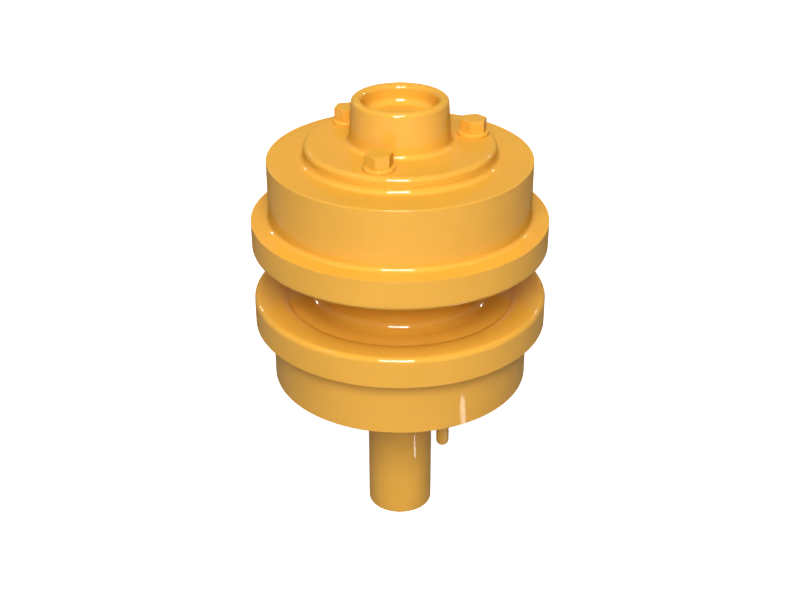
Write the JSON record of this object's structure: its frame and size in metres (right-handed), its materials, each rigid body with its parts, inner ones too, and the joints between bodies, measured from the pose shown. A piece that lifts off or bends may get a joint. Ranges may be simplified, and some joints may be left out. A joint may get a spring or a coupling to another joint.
{
  "type": "carrier roller",
  "caption": "Double-flanged carrier roller with a fixed cantilever shaft, tapered roller bearings, a metal face seal and a bolted, oil-filled end cover.",
  "frame": {"origin": "on the roller's axis at the free end face of the clamped shaft", "axes": "+Z along the roller's axis from the clamped shaft end to the cover's boss; the dowel pin lies between +X and -Y"},
  "size_m": [0.227, 0.227, 0.3562],
  "materials": {
    "yellow_paint": "glossy yellow machine enamel over forged and machined steel",
    "bearing_steel": "ground and honed bearing steel",
    "pressed_steel": "pressed steel sheet, oiled",
    "seal_iron": "chilled cast iron with a lapped sealing band",
    "black_rubber": "moulded nitrile rubber",
    "plain_steel": "turned and oiled steel"
  },
  "bodies": {
    "shaft_assembly": {"roller_shaft": "yellow_paint", "seal_collar": "yellow_paint", "dowel_pin": "yellow_paint", "collar_o_ring": "black_rubber", "stationary_seal_ring": "seal_iron", "stationary_toric_ring": "black_rubber", "inner_bearing_cone": "bearing_steel", "outer_bearing_cone": "bearing_steel", "lock_washer": "plain_steel", "lock_nut": "plain_steel"},
    "roller_assembly": {"roller_shell": "yellow_paint", "rotating_seal_ring": "seal_iron", "rotating_toric_ring": "black_rubber", "inner_bearing_cup": "bearing_steel", "outer_bearing_cup": "bearing_steel", "end_cover": "yellow_paint", "cover_o_ring": "black_rubber", "cover_bolts": "yellow_paint", "cover_washers": "yellow_paint", "fill_plug": "yellow_paint"},
    "inner_roller_set": {"inner_bearing_rollers": "bearing_steel", "inner_bearing_cage": "pressed_steel"},
    "outer_roller_set": {"outer_bearing_rollers": "bearing_steel", "outer_bearing_cage": "pressed_steel"}
  },
  "joints": [
    {"name": "roller_spin", "type": "hinge", "parent": "shaft_assembly", "child": "roller_assembly", "pos_m": [0, 0, 0.2198], "axis": [0, 0, 1], "continuous": true},
    {"name": "inner_set_roll", "type": "hinge", "parent": "shaft_assembly", "child": "inner_roller_set", "pos_m": [0, 0, 0.169], "axis": [0, 0, 1], "continuous": true},
    {"name": "outer_set_roll", "type": "hinge", "parent": "shaft_assembly", "child": "outer_roller_set", "pos_m": [0, 0, 0.272], "axis": [0, 0, 1], "continuous": true}
  ],
  "couplings": [
    {"joint": "inner_set_roll", "follows": "roller_spin", "ratio": 0.56378},
    {"joint": "outer_set_roll", "follows": "roller_spin", "ratio": 0.56378}
  ]
}
